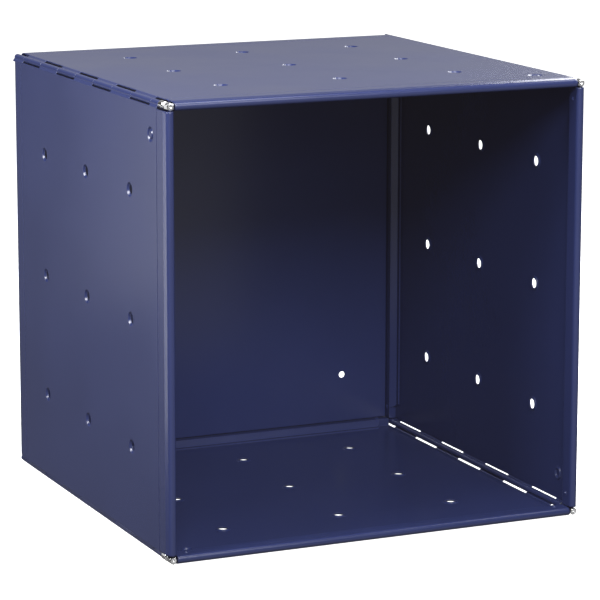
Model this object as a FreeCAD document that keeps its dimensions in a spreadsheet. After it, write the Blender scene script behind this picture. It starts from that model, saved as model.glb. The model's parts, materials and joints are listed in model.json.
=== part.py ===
import FreeCAD, Part
import math
import os

import Sketcher

# Modular storage cube of folded sheet steel, open at the front.
#
# Frame: origin at the middle of the underside, +X to the right, +Y to the rear, +Z up.
# Four identical panels make the ring. Each is drawn lying down, as the bottom panel:
# local X across the cube, local Y along its depth, local Z from the outer face inwards.
# The others are the same panel turned by quarter turns about the cube's depth axis.
# A panel's right-hand edge carries four knuckles and its left-hand edge five, and the
# five of one panel interlock with the four of the next round a steel rod.

DIMENSIONS = {
    # whole cube and sheet
    "width": 400.0,
    "depth": 390.0,
    "gauge": 1.0,
    "overcut": 1.0,
    # rolled knuckles along the depth edges
    "axis_inset": 4.5,
    "knuckle_radius": 3.0,
    "knuckle_length": 46.3,
    "knuckle_gap": 0.4,
    "roll_angle": 200.0,
    "joggle": 2.0,
    "four_edge_setback": 7.7,
    "five_edge_setback": 7.2,
    "fitting_length": 22.0,
    "short_knuckle": 17.0,
    # hollow hems along the front and rear edges
    "hem_height": 8.0,
    "hem_setback": 8.4,
    "nose_start": 7.5,
    "nose_drop": 0.8,
    "hem_return": 15.5,
    "hem_foot": 19.5,
    "hem_lip": 24.0,
    "ramp_inset": 20.0,
    "ramp_corner": 4.0,
    "crease_setback": 21.6,
    "crease_width": 0.8,
    "crease_depth": 0.25,
    # grid of dished holes
    "hole_radius": 4.5,
    "hole_pitch_across": 114.0,
    "hole_pitch_deep": 109.0,
    "dish_radius": 6.4,
    "dish_floor_radius": 5.0,
    "dish_depth": 1.6,
    "dish_lip": 0.6,
    # closed ring dimple near one front corner
    "ring_radius": 6.6,
    "ring_land": 3.0,
    "ring_depth": 1.5,
    "ring_from_front": 36.0,
    "ring_from_side": 31.5,
    # small stop nubs on the inner face of the hems
    "nub_radius": 1.9,
    "nub_height": 0.9,
    "nub_from_edge": 10.0,
    "nub_from_side": 19.5,
    # back pan
    "back_setback": 8.0,
    "back_clearance": 0.4,
    "back_flange": 7.0,
    "back_corner": 1.6,
    "back_bend": 1.4,
    "back_hole_radius": 3.25,
    "back_hole_side": 58.0,
    "back_hole_up": 57.0,
    # hinge rod and its fittings
    "rod_radius": 1.9,
    "rod_tip_radius": 1.1,
    "rod_tip_length": 15.0,
    "rod_tip_taper": 1.0,
    "spigot_radius": 1.3,
    "spigot_end": 4.0,
    "running_gap": 0.1,
    "bush_length": 13.0,
    "rear_recess": 2.0,
    "sleeve_radius": 3.6,
    "sleeve_round": 1.5,
    "cap_setback": 0.3,
    "cap_radius": 3.6,
    "cap_length": 12.0,
    "cap_neck_radius": 2.3,
    "cap_neck_length": 3.4,
    "cap_chamfer": 1.1,
    "cap_flat": 3.12,
    "cap_mark_radius": 0.9,
    "cap_mark_depth": 1.6,
}

doc = FreeCAD.newDocument("StorageCube")
dims = doc.addObject("Spreadsheet::Sheet", "Dims")
for row, (alias, number) in enumerate(DIMENSIONS.items(), start=1):
    dims.set(f"A{row}", alias)
    dims.set(f"B{row}", str(number))
    dims.setAlias(f"B{row}", alias)
doc.recompute()

# Expressions that more than one piece needs.
HALF_WIDTH = "Dims.width / 2"
HALF_DEPTH = "Dims.depth / 2"
AXIS_X = "(Dims.width / 2 - Dims.axis_inset)"
HEM_END = "(Dims.width / 2 - Dims.hem_setback)"
FOUR_EDGE = "(Dims.width / 2 - Dims.four_edge_setback)"
FIVE_EDGE = "(Dims.width / 2 - Dims.five_edge_setback)"
FRONT = "-Dims.depth / 2"
NOSE_RADIUS = "((Dims.hem_height - Dims.nose_drop) / 2)"
NOSE_MID = "((Dims.hem_height + Dims.nose_drop) / 2)"
BORE_RADIUS = "(Dims.knuckle_radius - Dims.gauge)"

sub_parts = []


def value(expression):
    """The number that an expression gives with the sheet's present values."""
    return float(dims.evalExpression(expression))


# ---------------------------------------------------------------- general helpers

def new_body(name):
    body = doc.addObject("PartDesign::Body", name)
    body.Label = name
    sub_parts.append(body)
    return body


def origin_feature(body, role):
    for feature in body.Origin.OriginFeatures:
        if feature.Role == role:
            return feature
    raise ValueError(f"{body.Label} has no {role}")


def new_sketch(body, name, plane, shift_x=None, shift_y=None, shift_normal=None):
    """A sketch on one of the body's origin planes, with its own origin shifted in that plane."""
    sketch = body.newObject("Sketcher::SketchObject", name)
    sketch.AttachmentSupport = [(origin_feature(body, plane), "")]
    sketch.MapMode = "FlatFace"
    for axis, shift in (("x", shift_x), ("y", shift_y), ("z", shift_normal)):
        if shift is not None:
            sketch.setExpression(f"AttachmentOffset.Base.{axis}", shift)
    return sketch


def fix_coordinate(sketch, direction, geometry, position, expression):
    """Holds one coordinate of a sketch point at the value of an expression."""
    index = sketch.addConstraint(
        Sketcher.Constraint(direction, -1, 1, geometry, position, value(expression))
    )
    sketch.setExpression(f"Constraints[{index}]", expression)


def draw_outline(sketch, corners):
    """Draws a closed outline, every corner bound to the sheet.

    A corner is (x, y), reached by a straight line from the one before, or
    (x, y, centre_x, centre_y, sense), reached by an arc that runs anticlockwise
    where sense is +1 and clockwise where it is -1.
    """
    count = len(corners)
    segments = []
    for index, corner in enumerate(corners):
        before = corners[index - 1]
        start = FreeCAD.Vector(value(before[0]), value(before[1]), 0)
        end = FreeCAD.Vector(value(corner[0]), value(corner[1]), 0)
        if len(corner) == 2:
            geometry = sketch.addGeometry(Part.LineSegment(start, end), False)
            segments.append((geometry, 1, 2))
            continue
        centre = FreeCAD.Vector(value(corner[2]), value(corner[3]), 0)
        first, last = (start, end) if corner[4] > 0 else (end, start)
        first_angle = math.atan2(first.y - centre.y, first.x - centre.x)
        last_angle = math.atan2(last.y - centre.y, last.x - centre.x)
        circle = Part.Circle(centre, FreeCAD.Vector(0, 0, 1), (first - centre).Length)
        arc = Part.ArcOfCircle(circle, first_angle, last_angle)
        geometry = sketch.addGeometry(arc, False)
        segments.append((geometry, 1, 2) if corner[4] > 0 else (geometry, 2, 1))
        fix_coordinate(sketch, "DistanceX", geometry, 3, corner[2])
        fix_coordinate(sketch, "DistanceY", geometry, 3, corner[3])
    for index, corner in enumerate(corners):
        geometry, _, end_position = segments[index]
        following, start_position, _ = segments[(index + 1) % count]
        sketch.addConstraint(
            Sketcher.Constraint("Coincident", geometry, end_position, following, start_position)
        )
        keep_x, keep_y = True, True
        if len(corner) == 5:
            # the centre and the start already hold the radius, so one coordinate is enough
            keep_x = abs(value(corner[1]) - value(corner[3])) >= abs(value(corner[0]) - value(corner[2]))
            keep_y = not keep_x
        if keep_x:
            fix_coordinate(sketch, "DistanceX", geometry, end_position, corner[0])
        if keep_y:
            fix_coordinate(sketch, "DistanceY", geometry, end_position, corner[1])


def draw_rectangle(sketch, left, bottom, right, top):
    draw_outline(sketch, [(left, bottom), (right, bottom), (right, top), (left, top)])


def draw_circle(sketch, centre_x, centre_y, radius):
    centre = FreeCAD.Vector(value(centre_x), value(centre_y), 0)
    circle = Part.Circle(centre, FreeCAD.Vector(0, 0, 1), value(radius))
    geometry = sketch.addGeometry(circle, False)
    fix_coordinate(sketch, "DistanceX", geometry, 3, centre_x)
    fix_coordinate(sketch, "DistanceY", geometry, 3, centre_y)
    index = sketch.addConstraint(Sketcher.Constraint("Radius", geometry, value(radius)))
    sketch.setExpression(f"Constraints[{index}]", radius)


def extrude(body, kind, name, sketch, length, reverse=False, both_sides=False):
    """A Pad or a Pocket of a sketch."""
    feature = body.newObject(f"PartDesign::{kind}", name)
    feature.Profile = sketch
    feature.SideType = "Symmetric" if both_sides else "One side"
    feature.setExpression("Length", length)
    feature.Reversed = reverse
    return feature


def revolve(body, kind, name, sketch, axis="V_Axis"):
    """A full Revolution or Groove of a sketch about one of its own axes."""
    feature = body.newObject(f"PartDesign::{kind}", name)
    feature.Profile = sketch
    feature.ReferenceAxis = (sketch, [axis])
    feature.Angle = 360
    return feature


def repeat(body, name, originals, across=None, deep=None):
    """Repeats features along X and Y; across and deep are (whole span, number of copies)."""
    pattern = body.newObject("PartDesign::LinearPattern", name)
    pattern.Originals = originals
    spans = [("X_Axis", across), ("Y_Axis", deep)]
    for suffix, (axis, span) in zip(("", "2"), [pair for pair in spans if pair[1]]):
        setattr(pattern, f"Direction{suffix}", (origin_feature(body, axis), [""]))
        setattr(pattern, f"Mode{suffix}", "Extent")
        setattr(pattern, f"Occurrences{suffix}", span[1])
        pattern.setExpression(f"Length{suffix}", span[0])
    body.Tip = pattern
    return pattern


def mirror(body, name, originals, plane):
    mirrored = body.newObject("PartDesign::Mirrored", name)
    mirrored.Originals = originals
    mirrored.MirrorPlane = (origin_feature(body, plane), [""])
    body.Tip = mirrored
    return mirrored


# ---------------------------------------------------------------- side panels

def from_front(distance):
    """Local Y of a point that lies a distance behind the front edge."""
    return f"({FRONT} + {distance})"


def add_skin(body):
    """The flat of the panel, cut back a little further beside the front fittings."""
    sketch = new_sketch(body, "SkinSketch", "XY_Plane")
    half_length = f"({HALF_DEPTH} - Dims.nose_start)"
    step_y = from_front("Dims.fitting_length")
    draw_outline(sketch, [
        (f"-{HEM_END}", f"-{half_length}"),
        (HEM_END, f"-{half_length}"),
        (HEM_END, step_y),
        (FOUR_EDGE, step_y),
        (FOUR_EDGE, half_length),
        (f"-{FIVE_EDGE}", half_length),
        (f"-{FIVE_EDGE}", step_y),
        (f"-{HEM_END}", step_y),
    ])
    extrude(body, "Pad", "Skin", sketch, "Dims.gauge")


def add_hems(body):
    """The hollow front hem, its sloping foot and its end walls, mirrored to the rear."""
    nose_y = from_front(NOSE_RADIUS)
    inner_bottom = "(Dims.nose_drop + Dims.gauge)"
    inner_top = f"(Dims.hem_height - Dims.gauge)"

    nose_sketch = new_sketch(body, "NoseSketch", "YZ_Plane")
    draw_outline(nose_sketch, [
        (from_front("Dims.nose_start"), "0"),
        (nose_y, "Dims.nose_drop"),
        (nose_y, "Dims.hem_height", nose_y, NOSE_MID, -1),
        (from_front("Dims.hem_return"), "Dims.hem_height"),
        (from_front("Dims.hem_return"), inner_top),
        (nose_y, inner_top),
        (nose_y, inner_bottom, nose_y, NOSE_MID, 1),
        (from_front("Dims.nose_start"), "Dims.gauge"),
    ])
    nose = extrude(body, "Pad", "Nose", nose_sketch, f"2 * {HEM_END}", both_sides=True)

    ramp_end = f"({HALF_WIDTH} - Dims.ramp_inset)"
    ramp_sketch = new_sketch(body, "RampSketch", "YZ_Plane")
    draw_outline(ramp_sketch, [
        (from_front("Dims.hem_return - Dims.gauge"), inner_top),
        (from_front("Dims.hem_foot - Dims.gauge"), "Dims.gauge"),
        (from_front("Dims.hem_lip"), "Dims.gauge"),
        (from_front("Dims.hem_lip"), "2 * Dims.gauge"),
        (from_front("Dims.hem_foot"), "2 * Dims.gauge"),
        (from_front("Dims.hem_return"), "Dims.hem_height"),
        (from_front("Dims.hem_return - Dims.gauge"), "Dims.hem_height"),
    ])
    ramp = extrude(body, "Pad", "Ramp", ramp_sketch, f"2 * {ramp_end}", both_sides=True)

    # rounds the ramp's two ends in plan
    trim_y = from_front("Dims.hem_return")
    arc_foot = from_front("(Dims.hem_return + Dims.ramp_corner)")
    beyond_y = from_front("(Dims.hem_lip + Dims.overcut)")
    arc_mid_x = f"({ramp_end} - Dims.ramp_corner)"
    beyond_x = f"({ramp_end} + Dims.overcut)"
    trims = []
    for side, sign, sense in (("Left", "-", -1), ("Right", "", 1)):
        sketch = new_sketch(body, f"RampTrim{side}Sketch", "XY_Plane", shift_normal="Dims.gauge")
        draw_outline(sketch, [
            (f"{sign}{beyond_x}", trim_y),
            (f"{sign}{ramp_end}", trim_y),
            (f"{sign}{arc_mid_x}", arc_foot, f"{sign}{arc_mid_x}", trim_y, sense),
            (f"{sign}{arc_mid_x}", beyond_y),
            (f"{sign}{beyond_x}", beyond_y),
        ])
        trims.append(extrude(body, "Pocket", f"RampTrim{side}", sketch, "Dims.hem_height", reverse=True))

    # the upright wall of the hem, seen only beyond the ends of the ramp
    wall_start = f"({arc_mid_x} - Dims.overcut)"
    walls = []
    for side, sign in (("Left", "-"), ("Right", "")):
        sketch = new_sketch(body, f"EndWall{side}Sketch", "XY_Plane")
        draw_rectangle(
            sketch, f"{sign}{wall_start}", from_front("Dims.hem_return - Dims.gauge"),
            f"{sign}{HEM_END}", from_front("Dims.hem_return"),
        )
        walls.append(extrude(body, "Pad", f"EndWall{side}", sketch, "Dims.hem_height - Dims.gauge / 2"))

    mirror(body, "RearHem", [nose, ramp] + trims + walls, "XZ_Plane")


def knuckle_outline(sketch, side, edge):
    """Section of a knuckle rolled from a joggled tab; side is "" on the right, "-" on the left."""
    sense = 1 if side == "" else -1
    middle_x = f"{side}{AXIS_X}"
    middle_z = "Dims.axis_inset"
    root = f"{side}({edge} - Dims.overcut)"
    joggle_start = f"{side}{edge}"
    joggle_end = f"{side}({edge} + Dims.joggle)"
    tab_bottom = "(Dims.axis_inset - Dims.knuckle_radius)"
    tab_top = f"(Dims.axis_inset - {BORE_RADIUS})"

    def on_roll(radius):
        return (
            f"{side}({AXIS_X} + {radius} * cos(Dims.roll_angle * 1deg))",
            f"Dims.axis_inset + {radius} * sin(Dims.roll_angle * 1deg)",
        )

    outer_x, outer_z = on_roll("Dims.knuckle_radius")
    inner_x, inner_z = on_roll(BORE_RADIUS)
    draw_outline(sketch, [
        (root, "0"),
        (joggle_start, "0"),
        (joggle_end, tab_bottom),
        (middle_x, tab_bottom),
        (outer_x, outer_z, middle_x, middle_z, sense),
        (inner_x, inner_z),
        (middle_x, tab_top, middle_x, middle_z, -sense),
        (joggle_end, tab_top),
        (joggle_start, "Dims.gauge"),
        (root, "Dims.gauge"),
    ])


def add_knuckle(body, name, side, start, length):
    """One knuckle that starts a distance behind the front edge, less half a gap at each end."""
    start_y = f"({FRONT} + {start} + Dims.knuckle_gap / 2)"
    sketch = new_sketch(body, f"{name}Sketch", "XZ_Plane", shift_normal=f"-{start_y}")
    knuckle_outline(sketch, side, FOUR_EDGE if side == "" else FIVE_EDGE)
    return extrude(body, "Pad", name, sketch, f"{length} - Dims.knuckle_gap", reverse=True)


def add_knuckles(body):
    first = "(Dims.fitting_length + Dims.short_knuckle)"
    rear = f"({first} + 7 * Dims.knuckle_length)"
    pitch = "2 * Dims.knuckle_length"

    four = add_knuckle(body, "RightKnuckle", "", first, "Dims.knuckle_length")
    repeat(body, "RightKnuckles", [four], deep=(f"3 * {pitch}", 4))

    three = add_knuckle(body, "LeftKnuckle", "-", f"{first} + Dims.knuckle_length", "Dims.knuckle_length")
    repeat(body, "LeftKnuckles", [three], deep=(f"2 * {pitch}", 3))
    add_knuckle(body, "LeftFrontKnuckle", "-", "Dims.fitting_length", "Dims.short_knuckle")
    add_knuckle(body, "LeftRearKnuckle", "-", rear, f"(Dims.depth - {rear})")


def add_creases(body):
    """A fine pressed line on the outer face over each hem's welded lip."""
    sketch = new_sketch(body, "CreaseSketch", "XY_Plane")
    draw_rectangle(
        sketch, f"-{HALF_WIDTH}", from_front("Dims.crease_setback"),
        HALF_WIDTH, from_front("(Dims.crease_setback + Dims.crease_width)"),
    )
    crease = extrude(body, "Pocket", "Crease", sketch, "Dims.crease_depth", reverse=True)
    mirror(body, "RearCrease", [crease], "XZ_Plane")


def add_holes(body):
    """Nine holes, each in a dish pressed inwards from the outer face, thinned at its lip."""
    corner_x = "-Dims.hole_pitch_across"
    corner_y = "-Dims.hole_pitch_deep"
    form_sketch = new_sketch(body, "DishFormSketch", "XZ_Plane", corner_x, None, f"-({corner_y})")
    draw_outline(form_sketch, [
        ("0", "Dims.gauge / 2"),
        ("Dims.dish_radius + Dims.gauge / 2", "Dims.gauge / 2"),
        ("Dims.dish_radius + Dims.gauge / 2", "Dims.gauge"),
        ("Dims.dish_floor_radius + Dims.gauge / 2", "Dims.dish_depth + Dims.dish_lip"),
        ("0", "Dims.dish_depth + Dims.dish_lip"),
    ])
    form = revolve(body, "Revolution", "DishForm", form_sketch)
    void_sketch = new_sketch(body, "DishVoidSketch", "XZ_Plane", corner_x, None, f"-({corner_y})")
    draw_outline(void_sketch, [
        ("0", "-Dims.overcut"),
        ("Dims.dish_radius", "-Dims.overcut"),
        ("Dims.dish_radius", "0"),
        ("Dims.dish_floor_radius", "Dims.dish_depth"),
        ("Dims.hole_radius", "Dims.dish_depth"),
        ("Dims.hole_radius", "Dims.dish_depth + Dims.gauge + Dims.overcut"),
        ("0", "Dims.dish_depth + Dims.gauge + Dims.overcut"),
    ])
    void = revolve(body, "Groove", "DishVoid", void_sketch)
    repeat(
        body, "DishedHoles", [form, void],
        across=("2 * Dims.hole_pitch_across", 3), deep=("2 * Dims.hole_pitch_deep", 3),
    )


def add_ring_dimple(body):
    """A closed ring pressed inwards round a flat land, near the front left corner."""
    ring_x = f"-({HALF_WIDTH} - Dims.ring_from_side)"
    ring_y = from_front("Dims.ring_from_front")
    middle = "((Dims.ring_radius + Dims.ring_land) / 2)"
    for kind, name, low, high in (
        ("Revolution", "RingForm", "Dims.gauge / 2", "Dims.gauge"),
        ("Groove", "RingVoid", "-Dims.overcut", "0"),
    ):
        sketch = new_sketch(body, f"{name}Sketch", "XZ_Plane", ring_x, None, f"-({ring_y})")
        draw_outline(sketch, [
            ("Dims.ring_land", low),
            ("Dims.ring_radius", low),
            ("Dims.ring_radius", high),
            (middle, f"{high} + Dims.ring_depth"),
            ("Dims.ring_land", high),
        ])
        revolve(body, kind, name, sketch)


def add_nubs(body):
    """Four small domed nubs on the hems; the rear pair stops the back pan."""
    nub_x = f"-({HALF_WIDTH} - Dims.nub_from_side)"
    nub_y = from_front("Dims.nub_from_edge")
    sketch = new_sketch(body, "NubSketch", "XZ_Plane", nub_x, None, f"-({nub_y})")
    draw_outline(sketch, [
        ("0", f"Dims.hem_height - Dims.gauge / 2"),
        ("Dims.nub_radius", f"Dims.hem_height - Dims.gauge / 2"),
        ("Dims.nub_radius", "Dims.hem_height"),
        ("Dims.nub_radius / 2", f"Dims.hem_height + Dims.nub_height"),
        ("0", f"Dims.hem_height + Dims.nub_height"),
    ])
    nub = revolve(body, "Revolution", "Nub", sketch)
    repeat(
        body, "Nubs", [nub],
        across=("Dims.width - 2 * Dims.nub_from_side", 2),
        deep=("Dims.depth - 2 * Dims.nub_from_edge", 2),
    )


def make_panel(name, base_x, base_z, quarter_turns):
    body = new_body(name)
    add_skin(body)
    add_hems(body)
    add_knuckles(body)
    add_creases(body)
    add_holes(body)
    add_ring_dimple(body)
    add_nubs(body)
    turn = FreeCAD.Rotation(FreeCAD.Vector(0, 1, 0), -90 * quarter_turns)
    body.Placement = FreeCAD.Placement(FreeCAD.Vector(value(base_x), 0, value(base_z)), turn)
    body.setExpression("Placement.Base.x", base_x)
    body.setExpression("Placement.Base.z", base_z)


# ---------------------------------------------------------------- back panel

def make_back_panel():
    """A shallow pan between the rear hems, its flanges turned to the rear."""
    body = new_body("back_panel")
    half_pan = f"({HALF_WIDTH} - Dims.hem_height - Dims.back_clearance)"
    face_y = f"({HALF_DEPTH} - Dims.back_setback)"

    def rounded_square(sketch, half, radius):
        flat = f"({half} - {radius})"
        draw_outline(sketch, [
            (flat, f"-{half}"),
            (half, f"-{flat}", flat, f"-{flat}", 1),
            (half, flat),
            (flat, half, flat, flat, 1),
            (f"-{flat}", half),
            (f"-{half}", flat, f"-{flat}", flat, 1),
            (f"-{half}", f"-{flat}"),
            (f"-{flat}", f"-{half}", f"-{flat}", f"-{flat}", 1),
        ])

    outer = new_sketch(body, "PanSketch", "XZ_Plane", shift_normal=f"-{face_y}")
    rounded_square(outer, half_pan, "Dims.back_corner")
    pan = extrude(body, "Pad", "Pan", outer, "Dims.back_flange", reverse=True)
    doc.recompute()
    front_edges = [
        f"Edge{number}" for number, edge in enumerate(pan.Shape.Edges, start=1)
        if abs(edge.BoundBox.YMin - value(face_y)) < 1e-6 and edge.BoundBox.YLength < 1e-6
    ]
    bend = body.newObject("PartDesign::Fillet", "PanBend")
    bend.Base = (pan, front_edges)
    bend.setExpression("Radius", "Dims.back_bend")

    inner = new_sketch(body, "PanVoidSketch", "XZ_Plane", shift_normal=f"-({face_y} + Dims.gauge)")
    rounded_square(inner, f"({half_pan} - Dims.gauge)", "(Dims.back_corner - Dims.gauge)")
    extrude(body, "Pocket", "PanVoid", inner, "Dims.back_flange")

    hole = new_sketch(body, "BackHoleSketch", "XZ_Plane", shift_normal=f"-({face_y} - Dims.overcut)")
    hole_x = f"({HALF_WIDTH} - Dims.back_hole_side)"
    draw_circle(hole, hole_x, f"Dims.back_hole_up - {HALF_WIDTH}", "Dims.back_hole_radius")
    extrude(body, "Pocket", "BackHole", hole, "Dims.gauge + 2 * Dims.overcut")
    body.setExpression("Placement.Base.z", HALF_WIDTH)


# ---------------------------------------------------------------- hinge rods and fittings

def place_on_corner(body, side_x, side_z):
    """Puts a piece that was drawn round its own Y axis onto one hinge axis."""
    base_x = f"{side_x}{AXIS_X}"
    base_z = "Dims.axis_inset" if side_z == "-" else "Dims.width - Dims.axis_inset"
    body.Placement = FreeCAD.Placement(
        FreeCAD.Vector(value(base_x), 0, value(base_z)), FreeCAD.Rotation()
    )
    body.setExpression("Placement.Base.x", base_x)
    body.setExpression("Placement.Base.z", base_z)


CAP_FRONT = f"({FRONT} + Dims.cap_setback)"
CAP_END = f"({CAP_FRONT} + Dims.cap_length)"
FITTING_END = "(Dims.fitting_length - Dims.running_gap)"
TIP_END = f"({HALF_DEPTH} - Dims.rear_recess)"
TIP_START = f"({TIP_END} - Dims.rod_tip_length)"


def make_rod(name):
    """The hinge pin: a spigot in front for the cap and a thinner tip behind for the bush."""
    body = new_body(name)
    shoulder = f"({CAP_END} + Dims.running_gap)"
    spigot_front = f"({CAP_FRONT} + Dims.spigot_end)"
    sketch = new_sketch(body, "RodSketch", "XY_Plane")
    draw_outline(sketch, [
        ("0", spigot_front),
        ("Dims.spigot_radius", spigot_front),
        ("Dims.spigot_radius", shoulder),
        ("Dims.rod_radius", shoulder),
        ("Dims.rod_radius", TIP_START),
        ("Dims.rod_tip_radius", f"{TIP_START} + Dims.rod_tip_taper"),
        ("Dims.rod_tip_radius", TIP_END),
        ("0", TIP_END),
    ])
    revolve(body, "Revolution", "Rod", sketch)
    return body


def make_sleeve(name):
    """The plated collar behind the cap, with rounded shoulders."""
    body = new_body(name)
    front = f"({CAP_END} + Dims.running_gap)"
    rear = from_front(FITTING_END)
    shoulder = "(Dims.sleeve_radius - Dims.sleeve_round)"
    front_mid = f"({front} + Dims.sleeve_round)"
    rear_mid = f"({rear} - Dims.sleeve_round)"
    sketch = new_sketch(body, "SleeveSketch", "XY_Plane")
    draw_outline(sketch, [
        ("Dims.rod_radius", front),
        (shoulder, front),
        ("Dims.sleeve_radius", front_mid, shoulder, front_mid, 1),
        ("Dims.sleeve_radius", rear_mid),
        (shoulder, rear, shoulder, rear_mid, 1),
        ("Dims.rod_radius", rear),
    ])
    revolve(body, "Revolution", "Sleeve", sketch)
    return body


def make_cap(name):
    """The plated front cap: a neck, a chamfered head with six flats and a centre mark."""
    body = new_body(name)
    bore = "(Dims.spigot_radius + Dims.running_gap)"
    bore_end = f"({CAP_FRONT} + Dims.spigot_end - Dims.running_gap)"
    neck_y = f"({CAP_END} - Dims.cap_neck_length)"
    mark_end = f"({CAP_FRONT} + Dims.cap_mark_depth)"
    sketch = new_sketch(body, "CapSketch", "XY_Plane")
    draw_outline(sketch, [
        ("Dims.cap_mark_radius", CAP_FRONT),
        ("(Dims.cap_radius - Dims.cap_chamfer)", CAP_FRONT),
        ("Dims.cap_radius", f"({CAP_FRONT} + Dims.cap_chamfer)"),
        ("Dims.cap_radius", f"({neck_y} - Dims.cap_chamfer)"),
        ("Dims.cap_neck_radius", neck_y),
        ("Dims.cap_neck_radius", CAP_END),
        (bore, CAP_END),
        (bore, bore_end),
        ("0", bore_end),
        ("0", mark_end),
        ("Dims.cap_mark_radius", mark_end),
    ])
    revolve(body, "Revolution", "Cap", sketch)

    flat_sketch = new_sketch(body, "FlatSketch", "XZ_Plane", shift_normal=f"-({CAP_FRONT} - Dims.overcut)")
    draw_rectangle(
        flat_sketch, "Dims.cap_flat", "-Dims.cap_radius",
        "Dims.cap_radius + Dims.overcut", "Dims.cap_radius",
    )
    head_length = "Dims.cap_length - Dims.cap_neck_length + Dims.overcut"
    flat = extrude(body, "Pocket", "Flat", flat_sketch, head_length)
    flats = body.newObject("PartDesign::PolarPattern", "Flats")
    flats.Originals = [flat]
    flats.Axis = (origin_feature(body, "Y_Axis"), [""])
    flats.Angle = 360
    flats.Occurrences = 6
    body.Tip = flats
    return body


def make_bush(name):
    """The threaded bush pressed into the last knuckle, which takes the rod's tip."""
    body = new_body(name)
    bore = "(Dims.rod_tip_radius + Dims.running_gap)"
    sketch = new_sketch(body, "BushSketch", "XY_Plane")
    draw_rectangle(sketch, bore, f"{TIP_END} - Dims.bush_length", BORE_RADIUS, TIP_END)
    revolve(body, "Revolution", "Bush", sketch)
    return body


make_panel("bottom_panel", "0", "0", 0)
make_panel("right_panel", HALF_WIDTH, HALF_WIDTH, 1)
make_panel("top_panel", "0", "Dims.width", 2)
make_panel("left_panel", f"-{HALF_WIDTH}", HALF_WIDTH, 3)
make_back_panel()

CORNERS = {
    "bottom_left": ("-", "-"),
    "bottom_right": ("", "-"),
    "top_left": ("-", ""),
    "top_right": ("", ""),
}
for corner, (side_x, side_z) in CORNERS.items():
    for piece, make_piece in (
        ("hinge_rod", make_rod),
        ("corner_sleeve", make_sleeve),
        ("corner_cap", make_cap),
        ("rear_bush", make_bush),
    ):
        place_on_corner(make_piece(f"{piece}_{corner}"), side_x, side_z)

doc.recompute()

for item in doc.Objects:
    if "Invalid" in item.State or "Error" in item.State:
        raise RuntimeError(f"{item.Name} failed: {item.State}")
for sub_part in sub_parts:
    shape = sub_part.Shape
    if shape.isNull() or not shape.isValid() or len(shape.Solids) != 1:
        raise RuntimeError(f"{sub_part.Label} isn't one valid solid")

os.makedirs("parts", exist_ok=True)
for sub_part in sub_parts:
    sub_part.Shape.exportStep(f"parts/{sub_part.Label}.step")
    box = sub_part.Shape.BoundBox
    print(f"{sub_part.Label:28s} volume {sub_part.Shape.Volume:10.1f} mm3  "
          f"x {box.XMin:8.2f} {box.XMax:8.2f}  y {box.YMin:8.2f} {box.YMax:8.2f}  "
          f"z {box.ZMin:8.2f} {box.ZMax:8.2f}")
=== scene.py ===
import json
import math

import bpy
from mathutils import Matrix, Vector

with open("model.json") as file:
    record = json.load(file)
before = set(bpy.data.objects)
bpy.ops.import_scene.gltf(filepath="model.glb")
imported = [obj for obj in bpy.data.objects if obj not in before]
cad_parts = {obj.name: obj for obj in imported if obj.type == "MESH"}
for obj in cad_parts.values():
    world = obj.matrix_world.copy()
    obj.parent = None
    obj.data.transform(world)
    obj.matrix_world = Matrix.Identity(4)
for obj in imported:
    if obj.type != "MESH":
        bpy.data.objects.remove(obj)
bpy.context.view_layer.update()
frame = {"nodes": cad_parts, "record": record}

# Colours are linear RGBA. Lengths are metres, and noise scales are cells per metre.
NAVY = (0.0165, 0.0235, 0.083, 1.0)
NAVY_DEEP = (0.0150, 0.0215, 0.076, 1.0)
NAVY_WORN = (0.034, 0.046, 0.135, 1.0)
CHROME = (0.90, 0.90, 0.91, 1.0)
CHROME_DULL = (0.66, 0.67, 0.69, 1.0)
STEEL = (0.48, 0.48, 0.49, 1.0)
STEEL_DARK = (0.30, 0.30, 0.31, 1.0)
FLOOR_PALE = (0.86, 0.86, 0.86, 1.0)
FLOOR_PALER = (0.90, 0.90, 0.90, 1.0)
WHITE = (1.0, 1.0, 1.0, 1.0)

# How far the shading rounds each kind of sharp edge.
SHEET_EDGE = 0.0005
HEM_NOSE = 0.0022
PLATE_EDGE = 0.0003

# Where the front hems' noses begin and end along the depth.
NOSE_REAR_Y = -0.188
NOSE_FRONT_Y = -0.191


# ---------------------------------------------------------------- node helpers

def new_material(name):
    material = bpy.data.materials.new(name)
    material.use_nodes = True
    material.node_tree.nodes.clear()
    return material


def add_node(material, kind, **settings):
    node = material.node_tree.nodes.new(kind)
    for key, setting in settings.items():
        setattr(node, key, setting)
    return node


def link(material, source, target):
    material.node_tree.links.new(source, target)


def finish_material(material, shader):
    output = add_node(material, "ShaderNodeOutputMaterial")
    link(material, shader.outputs["BSDF"], output.inputs["Surface"])


def noise(material, place, scale, detail, roughness=0.5):
    """A noise texture in object coordinates; scale is in cells per metre."""
    node = add_node(material, "ShaderNodeTexNoise")
    node.inputs["Scale"].default_value = scale
    node.inputs["Detail"].default_value = detail
    node.inputs["Roughness"].default_value = roughness
    link(material, place, node.inputs["Vector"])
    return node.outputs["Fac"]


def spread(material, factor, low_in, high_in, low_out, high_out):
    """Maps a factor from one range to another, held at its ends."""
    node = add_node(material, "ShaderNodeMapRange", clamp=True)
    node.inputs["From Min"].default_value = low_in
    node.inputs["From Max"].default_value = high_in
    node.inputs["To Min"].default_value = low_out
    node.inputs["To Max"].default_value = high_out
    link(material, factor, node.inputs["Value"])
    return node.outputs["Result"]


def mix_colour(material, factor, first, second):
    """Mixes two colours; each is a plain colour or another node's output."""
    node = add_node(material, "ShaderNodeMix", data_type="RGBA")
    link(material, factor, node.inputs["Factor"])
    for socket, colour in ((node.inputs[6], first), (node.inputs[7], second)):
        if isinstance(colour, tuple):
            socket.default_value = colour
        else:
            link(material, colour, socket)
    return node.outputs[2]


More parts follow.
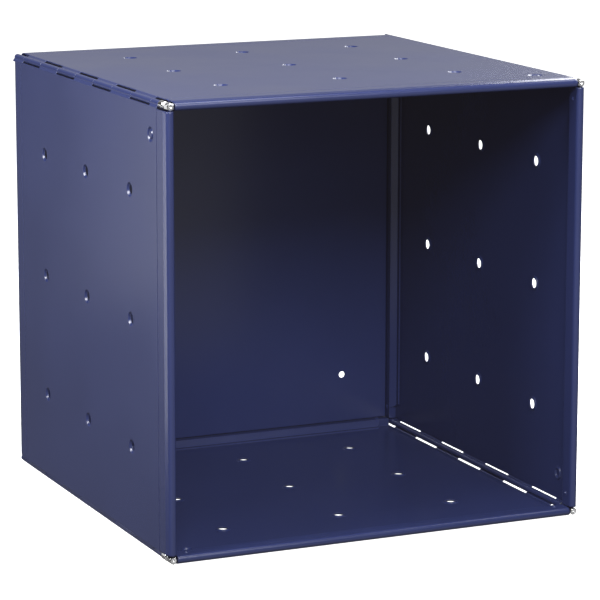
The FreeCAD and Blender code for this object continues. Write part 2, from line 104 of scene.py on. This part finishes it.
def math_node(material, operation, first, second):
    node = add_node(material, "ShaderNodeMath", operation=operation, use_clamp=True)
    for socket, operand in zip(node.inputs, (first, second)):
        if isinstance(operand, (int, float)):
            socket.default_value = operand
        else:
            link(material, operand, socket)
    return node.outputs["Value"]


def object_place(material):
    return add_node(material, "ShaderNodeTexCoord").outputs["Object"]


def edge_mask(material, radius):
    """Near 1 on outside and inside corners sharper than the radius, 0 on flat faces."""
    bevel = add_node(material, "ShaderNodeBevel", samples=4)
    bevel.inputs["Radius"].default_value = radius
    geometry = add_node(material, "ShaderNodeNewGeometry")
    dot = add_node(material, "ShaderNodeVectorMath", operation="DOT_PRODUCT")
    link(material, bevel.outputs["Normal"], dot.inputs[0])
    link(material, geometry.outputs["Normal"], dot.inputs[1])
    return spread(material, dot.outputs["Value"], 0.999, 0.85, 0.0, 1.0)


def bump(material, height, strength, distance, normal=None):
    node = add_node(material, "ShaderNodeBump")
    node.inputs["Strength"].default_value = strength
    node.inputs["Distance"].default_value = distance
    link(material, height, node.inputs["Height"])
    if normal is not None:
        link(material, normal, node.inputs["Normal"])
    return node.outputs["Normal"]


# ---------------------------------------------------------------- materials

def coat_colour(material, place, clouds, edges):
    """Navy in two depths, with fine specks and a thinner coat along the edges."""
    specks = noise(material, place, 2600.0, 1.0)
    body = mix_colour(material, spread(material, clouds, 0.35, 0.65, 0.0, 1.0), NAVY_DEEP, NAVY)
    speck_mask = spread(material, specks, 0.66, 0.74, 0.0, 0.35)
    body = mix_colour(material, speck_mask, body, NAVY_WORN)
    return mix_colour(material, math_node(material, "MULTIPLY", edges, 0.25), body, NAVY_WORN)


def coat_normal(material, place):
    """Orange peel on a slow ripple, over edges that are rounder on the front hems' noses."""
    peel = noise(material, place, 520.0, 2.0, 0.45)
    ripple = noise(material, place, 120.0, 1.0)
    parts = add_node(material, "ShaderNodeSeparateXYZ")
    link(material, place, parts.inputs["Vector"])
    rounded = add_node(material, "ShaderNodeBevel", samples=8)
    radius = spread(material, parts.outputs["Y"], NOSE_REAR_Y, NOSE_FRONT_Y, SHEET_EDGE, HEM_NOSE)
    link(material, radius, rounded.inputs["Radius"])
    waves = bump(material, ripple, 0.04, 0.0006, rounded.outputs["Normal"])
    return bump(material, peel, 0.10, 0.0002, waves)


def powder_coat():
    """Semi-gloss navy powder coat: orange peel, cloudy gloss, fine specks, thin coat on edges."""
    material = new_material("navy_powder_coat")
    place = object_place(material)
    clouds = noise(material, place, 9.0, 3.0)
    edges = edge_mask(material, 0.0006)
    shader = add_node(material, "ShaderNodeBsdfPrincipled")
    link(material, coat_colour(material, place, clouds, edges), shader.inputs["Base Color"])
    gloss = spread(material, clouds, 0.3, 0.7, 0.22, 0.27)
    duller_edges = math_node(material, "MULTIPLY", edges, 0.12)
    link(material, math_node(material, "ADD", gloss, duller_edges), shader.inputs["Roughness"])
    shader.inputs["IOR"].default_value = 1.5
    link(material, coat_normal(material, place), shader.inputs["Normal"])
    finish_material(material, shader)
    return material


def bright_plate():
    """Bright plating on turned steel: fine turning marks, smudges and a duller edge."""
    material = new_material("bright_plate")
    place = object_place(material)
    smudge = noise(material, place, 260.0, 3.0)
    marks = noise(material, place, 3200.0, 2.0)
    edges = edge_mask(material, PLATE_EDGE)
    shader = add_node(material, "ShaderNodeBsdfPrincipled")
    tone = mix_colour(material, spread(material, smudge, 0.4, 0.7, 0.0, 0.6), CHROME, CHROME_DULL)
    worn = math_node(material, "MULTIPLY", edges, 0.3)
    link(material, mix_colour(material, worn, tone, CHROME_DULL), shader.inputs["Base Color"])
    shader.inputs["Metallic"].default_value = 1.0
    link(material, spread(material, smudge, 0.3, 0.7, 0.05, 0.14), shader.inputs["Roughness"])
    rounded = add_node(material, "ShaderNodeBevel", samples=4)
    rounded.inputs["Radius"].default_value = PLATE_EDGE
    turned = bump(material, marks, 0.12, 0.0001, rounded.outputs["Normal"])
    link(material, turned, shader.inputs["Normal"])
    finish_material(material, shader)
    return material


def rod_steel():
    """Drawn steel: fine lines along the rod, uneven zinc and slightly dull."""
    material = new_material("rod_steel")
    place = object_place(material)
    stretch = add_node(material, "ShaderNodeMapping")
    stretch.inputs["Scale"].default_value = (1.0, 0.02, 1.0)
    link(material, place, stretch.inputs["Vector"])
    lines = noise(material, stretch.outputs["Vector"], 4200.0, 2.0)
    bloom = noise(material, place, 90.0, 3.0)
    shader = add_node(material, "ShaderNodeBsdfPrincipled")
    blooming = spread(material, bloom, 0.35, 0.7, 0.0, 1.0)
    link(material, mix_colour(material, blooming, STEEL, STEEL_DARK), shader.inputs["Base Color"])
    shader.inputs["Metallic"].default_value = 1.0
    link(material, spread(material, lines, 0.3, 0.7, 0.26, 0.42), shader.inputs["Roughness"])
    link(material, bump(material, lines, 0.15, 0.0001), shader.inputs["Normal"])
    finish_material(material, shader)
    return material


def white_floor():
    """The pale studio floor, lit up to plain white with the faintest grain."""
    material = new_material("studio_floor")
    fibre = noise(material, object_place(material), 300.0, 2.0)
    shader = add_node(material, "ShaderNodeBsdfPrincipled")
    tone = mix_colour(material, fibre, FLOOR_PALE, FLOOR_PALER)
    link(material, tone, shader.inputs["Base Color"])
    link(material, tone, shader.inputs["Emission Color"])
    shader.inputs["Emission Strength"].default_value = 1.3
    shader.inputs["Roughness"].default_value = 0.9
    shader.inputs["Specular IOR Level"].default_value = 0.1
    finish_material(material, shader)
    return material


def dress_nodes():
    """Gives every CAD node its finished material, by the record's material slot."""
    makers = {"painted_steel": powder_coat, "bright_plate": bright_plate, "rod_steel": rod_steel}
    finishes = {slot: make() for slot, make in makers.items()}
    slots = {entry["node"]: entry["material_slot"] for entry in frame["record"]["subparts"]}
    for name, node in frame["nodes"].items():
        node.data.materials.clear()
        node.data.materials.append(finishes[slots[name]])


# ---------------------------------------------------------------- stage, light and camera

# Softboxes: distance from the light centre, angle round it from the open front (positive to
# the right), height angle, width, height, power. Lengths in metres, angles in degrees, power
# in watts.
SOFTBOXES = {
    "front_softbox": (2.2, -12.0, 34.0, 1.3, 0.6, 52.0),
    "left_softbox": (1.2, -80.0, 34.0, 0.6, 0.5, 22.0),
    "right_softbox": (1.2, 84.0, 44.0, 0.5, 0.5, 10.0),
    "overhead_softbox": (1.1, 0.0, 72.0, 0.6, 0.4, 6.0),
    "low_fill": (2.2, -20.0, 14.0, 0.8, 0.6, 4.5),
    "near_fill": (1.2, 5.0, 32.0, 0.6, 0.5, 3.5),
    "rear_left_card": (1.0, -140.0, 0.0, 0.20, 0.36, 0.17),
    "left_strip": (0.9, -122.0, -6.0, 0.14, 0.40, 0.8),
    "rear_right_softbox": (2.0, 125.0, 25.0, 1.0, 0.6, 20.0),
}
LIGHT_CENTRE = Vector((0.0, 0.0, 0.2))

# The floor's half width, and the studio's dim light by direction.
FLOOR_HALF = 40.0
ROOM_LIGHT = 0.04
FLOOR_LIGHT = 0.12
FRONT_FLOOR_LIGHT = 0.3
WALL_LIGHT = 0.40

# The camera fitted to the photograph: place and direction in the shared frame.
CAMERA_PLACE = (-1.107, -2.4691, 0.7276)
CAMERA_FORWARD = Vector((0.3990, 0.8981, -0.1852))
SENSOR_WIDTH_MM = 36.0
LENS_MM = 178.23
SHIFT_X = 0.034
SHIFT_Y = -0.066
VIEW_LIMIT = 80.0


def add_softbox(name, distance, around, up, width, height, power):
    """One rectangular light, aimed at the light centre and hidden from the camera."""
    data = bpy.data.lights.new(name, "AREA")
    data.shape = "RECTANGLE"
    data.size = width
    data.size_y = height
    data.energy = power
    light = bpy.data.objects.new(name, data)
    bpy.context.scene.collection.objects.link(light)
    around, up = math.radians(around), math.radians(up)
    outwards = Vector((math.cos(up) * math.sin(around), -math.cos(up) * math.cos(around), math.sin(up)))
    light.location = LIGHT_CENTRE + distance * outwards
    light.rotation_euler = (-outwards).to_track_quat("-Z", "Y").to_euler()
    light.visible_camera = False


def build_stage():
    """A plain floor that stays out of reflections and bounced light."""
    mesh = bpy.data.meshes.new("studio_floor")
    signs = ((-1, -1), (1, -1), (1, 1), (-1, 1))
    corners = [(FLOOR_HALF * across, FLOOR_HALF * along, 0) for across, along in signs]
    mesh.from_pydata(corners, [], [(0, 1, 2, 3)])
    floor = bpy.data.objects.new("studio_floor", mesh)
    bpy.context.scene.collection.objects.link(floor)
    floor.visible_diffuse = False
    floor.visible_glossy = False
    mesh.materials.append(white_floor())


def wall_glow(world, parts):
    """The pale wall: a band of directions behind and to the right, from the horizon upwards."""
    behind = spread(world, parts.outputs["Y"], 0.2, 0.8, 0.0, 1.0)
    rightwards = spread(world, parts.outputs["X"], -0.35, 0.15, 0.0, 1.0)
    above = spread(world, parts.outputs["Z"], -0.05, 0.12, 0.0, 1.0)
    band = spread(world, parts.outputs["Z"], 0.3, 0.8, 1.0, 0.0)
    wall = behind
    for limit in (rightwards, above, band):
        wall = math_node(world, "MULTIPLY", wall, limit)
    return math_node(world, "MULTIPLY", wall, WALL_LIGHT)


def build_world():
    """Dim studio: a pale wall behind and to the right, and a floor that is brighter in front."""
    world = bpy.data.worlds.new("studio")
    bpy.context.scene.world = world
    world.use_nodes = True
    direction = add_node(world, "ShaderNodeTexCoord").outputs["Generated"]
    parts = add_node(world, "ShaderNodeSeparateXYZ")
    link(world, direction, parts.inputs["Vector"])
    below = spread(world, parts.outputs["Z"], 0.05, -0.15, 0.0, 1.0)
    ground = math_node(world, "MULTIPLY", below, FLOOR_LIGHT)
    ahead = spread(world, parts.outputs["Y"], -0.2, -0.7, 0.0, FRONT_FLOOR_LIGHT)
    front_floor = math_node(world, "MULTIPLY", below, ahead)
    room = math_node(world, "ADD", wall_glow(world, parts), ground)
    room = math_node(world, "ADD", room, front_floor)
    room = math_node(world, "ADD", room, ROOM_LIGHT)
    background = world.node_tree.nodes["Background"]
    background.inputs["Color"].default_value = WHITE
    link(world, room, background.inputs["Strength"])


def add_camera():
    """The long-lens view from the upper left of the open front."""
    data = bpy.data.cameras.new("camera")
    data.sensor_width = SENSOR_WIDTH_MM
    data.lens = LENS_MM
    data.clip_end = VIEW_LIMIT
    data.shift_x = SHIFT_X
    data.shift_y = SHIFT_Y
    camera = bpy.data.objects.new("camera", data)
    bpy.context.scene.collection.objects.link(camera)
    camera.location = CAMERA_PLACE
    camera.rotation_euler = CAMERA_FORWARD.to_track_quat("-Z", "Y").to_euler()
    bpy.context.scene.camera = camera


def grade_picture():
    """Plain colours, with the blacks lifted a little as haze in a lens lifts them."""
    settings = bpy.context.scene.view_settings
    settings.view_transform = "Standard"
    settings.use_curve_mapping = True
    settings.curve_mapping.black_level = (-0.0065, -0.0055, -0.0060)
    settings.curve_mapping.update()


dress_nodes()
build_stage()
build_world()
for name, settings in SOFTBOXES.items():
    add_softbox(name, *settings)
add_camera()
grade_picture()
